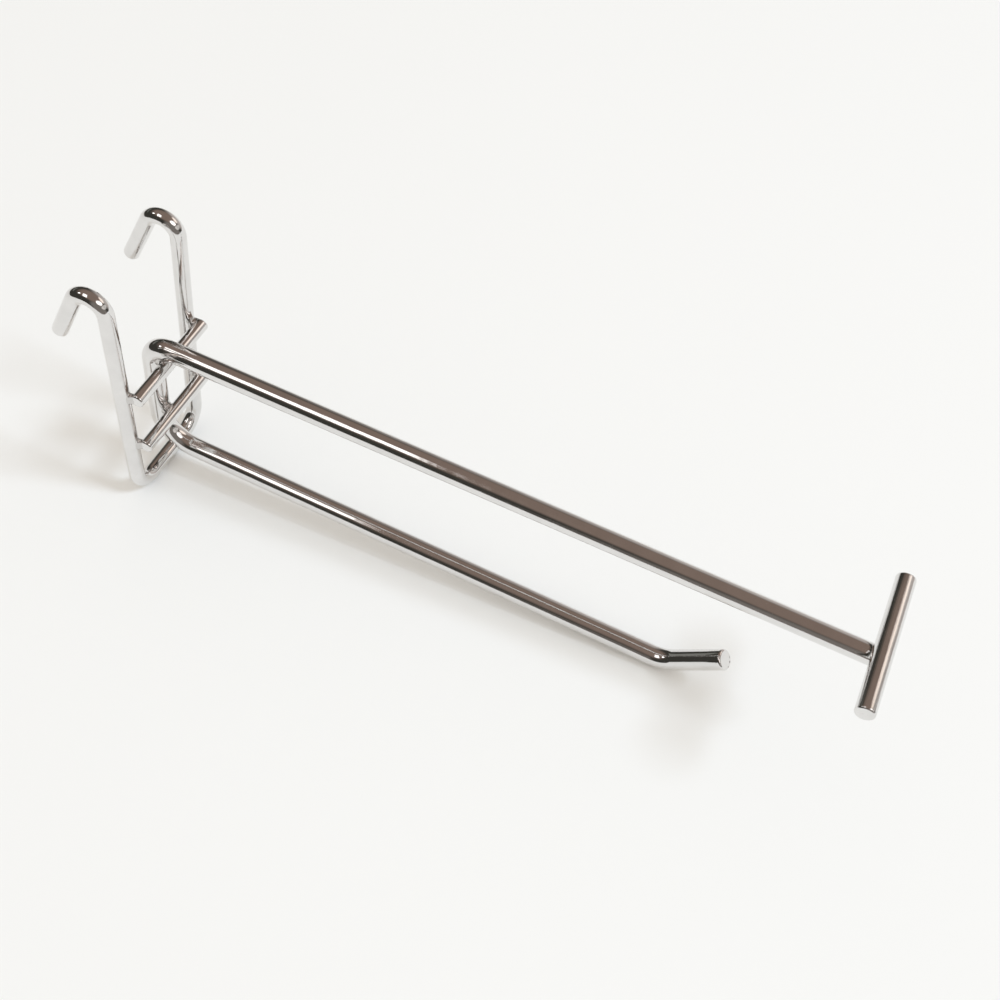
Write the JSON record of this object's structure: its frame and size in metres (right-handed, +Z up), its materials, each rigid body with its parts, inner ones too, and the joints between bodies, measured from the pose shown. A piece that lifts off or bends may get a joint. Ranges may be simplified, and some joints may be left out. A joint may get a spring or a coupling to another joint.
{
  "type": "grid wall display hook",
  "caption": "Chrome wire display hook for a grid wall: a bag peg with a raised tip, a label arm over it with a T-bar at its end, and a rear bracket that hooks over a grid wire",
  "frame": {"origin": "where the horizontal grid wire sits: the inner top of the two hooks, midway between them", "axes": "+X along the grid wire, to the right as a shopper faces the hook; +Y into the wall, so the arms reach out along -Y; +Z up"},
  "size_m": [0.044, 0.2335, 0.0849],
  "materials": {
    "chrome_wire": "bright chrome plating over drawn steel wire",
    "plated_weld": "chrome plating over a rough spot-weld bead"
  },
  "bodies": {
    "root": {"arm_wire": "chrome_wire", "bracket_wire": "chrome_wire", "upper_crossbar": "chrome_wire", "lower_crossbar": "chrome_wire", "t_bar": "chrome_wire", "weld_upper_left": "plated_weld", "weld_upper_right": "plated_weld", "weld_upper_riser": "plated_weld", "weld_lower_left": "plated_weld", "weld_lower_right": "plated_weld", "weld_lower_riser": "plated_weld", "weld_t_bar": "plated_weld"}
  },
  "joints": []
}
